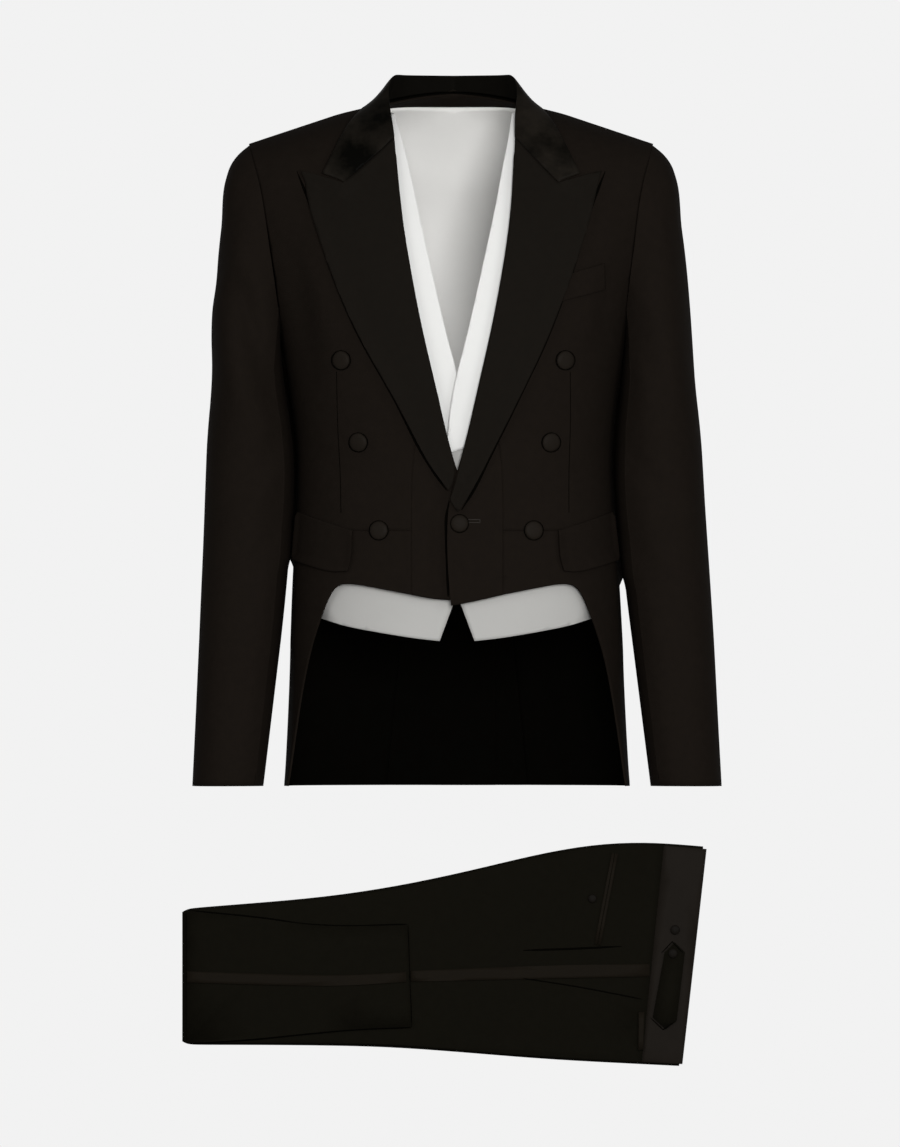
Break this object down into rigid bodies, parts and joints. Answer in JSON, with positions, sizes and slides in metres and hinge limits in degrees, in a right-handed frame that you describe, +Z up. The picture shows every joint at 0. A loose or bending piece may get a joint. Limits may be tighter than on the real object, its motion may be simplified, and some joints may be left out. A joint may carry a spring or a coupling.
{
  "type": "tuxedo set of tailcoat, waistcoat and folded trousers",
  "caption": "Black tailcoat with satin collar and peaked lapels over a pale waistcoat, standing open and hollow as worn, with folded satin-striped trousers below.",
  "frame": {"origin": "middle of the shoulders inside the coat, where the wearer carries it", "axes": "+Z up, -Y towards the front, +X to the wearer's left"},
  "size_m": [0.5653, 0.2537, 1.0433],
  "materials": {
    "black_wool": "matt fine wool",
    "black_satin": "soft satin",
    "white_pique": "smooth white",
    "grey_satin": "pale grey satin"
  },
  "bodies": {
    "root": {"coat_front_right": "black_wool", "coat_front_left": "black_wool", "coat_front_strap_right": "black_wool", "coat_front_strap_left": "black_wool", "coat_side_right": "black_wool", "coat_side_left": "black_wool", "coat_back_right": "black_wool", "coat_back_left": "black_wool", "coat_skirt_right": "black_wool", "coat_skirt_left": "black_wool", "coat_topsleeve_right": "black_wool", "coat_topsleeve_left": "black_wool", "coat_undersleeve_right": "black_wool", "coat_undersleeve_left": "black_wool", "coat_collar": "black_satin", "coat_neck_facing": "black_wool", "lapel_right": "black_wool", "lapel_left": "black_wool", "breast_welt": "black_wool", "hip_flap_right": "black_wool", "hip_flap_left": "black_wool", "show_button_right_1": "black_satin", "show_button_right_2": "black_satin", "show_button_right_3": "black_satin", "show_button_left_1": "black_satin", "show_button_left_2": "black_satin", "show_button_left_3": "black_satin", "closing_button": "black_satin", "waistcoat_front_right": "grey_satin", "waistcoat_front_left": "grey_satin", "waistcoat_back": "grey_satin", "waistcoat_lapel_right": "white_pique", "waistcoat_lapel_left": "white_pique", "trousers_folded_layers": "black_wool", "trousers_top_leg": "black_wool", "trousers_turned_leg": "black_wool", "trousers_waistband": "black_satin", "trousers_side_stripe": "black_satin", "trousers_turned_stripe": "black_satin", "trousers_front_strip": "black_satin", "back_pocket_jet_inner": "black_wool", "back_pocket_jet_outer": "black_wool", "back_pocket_button": "black_wool", "side_adjuster_tab": "black_satin", "side_adjuster_button": "black_satin", "waistband_button": "black_satin"}
  },
  "joints": []
}
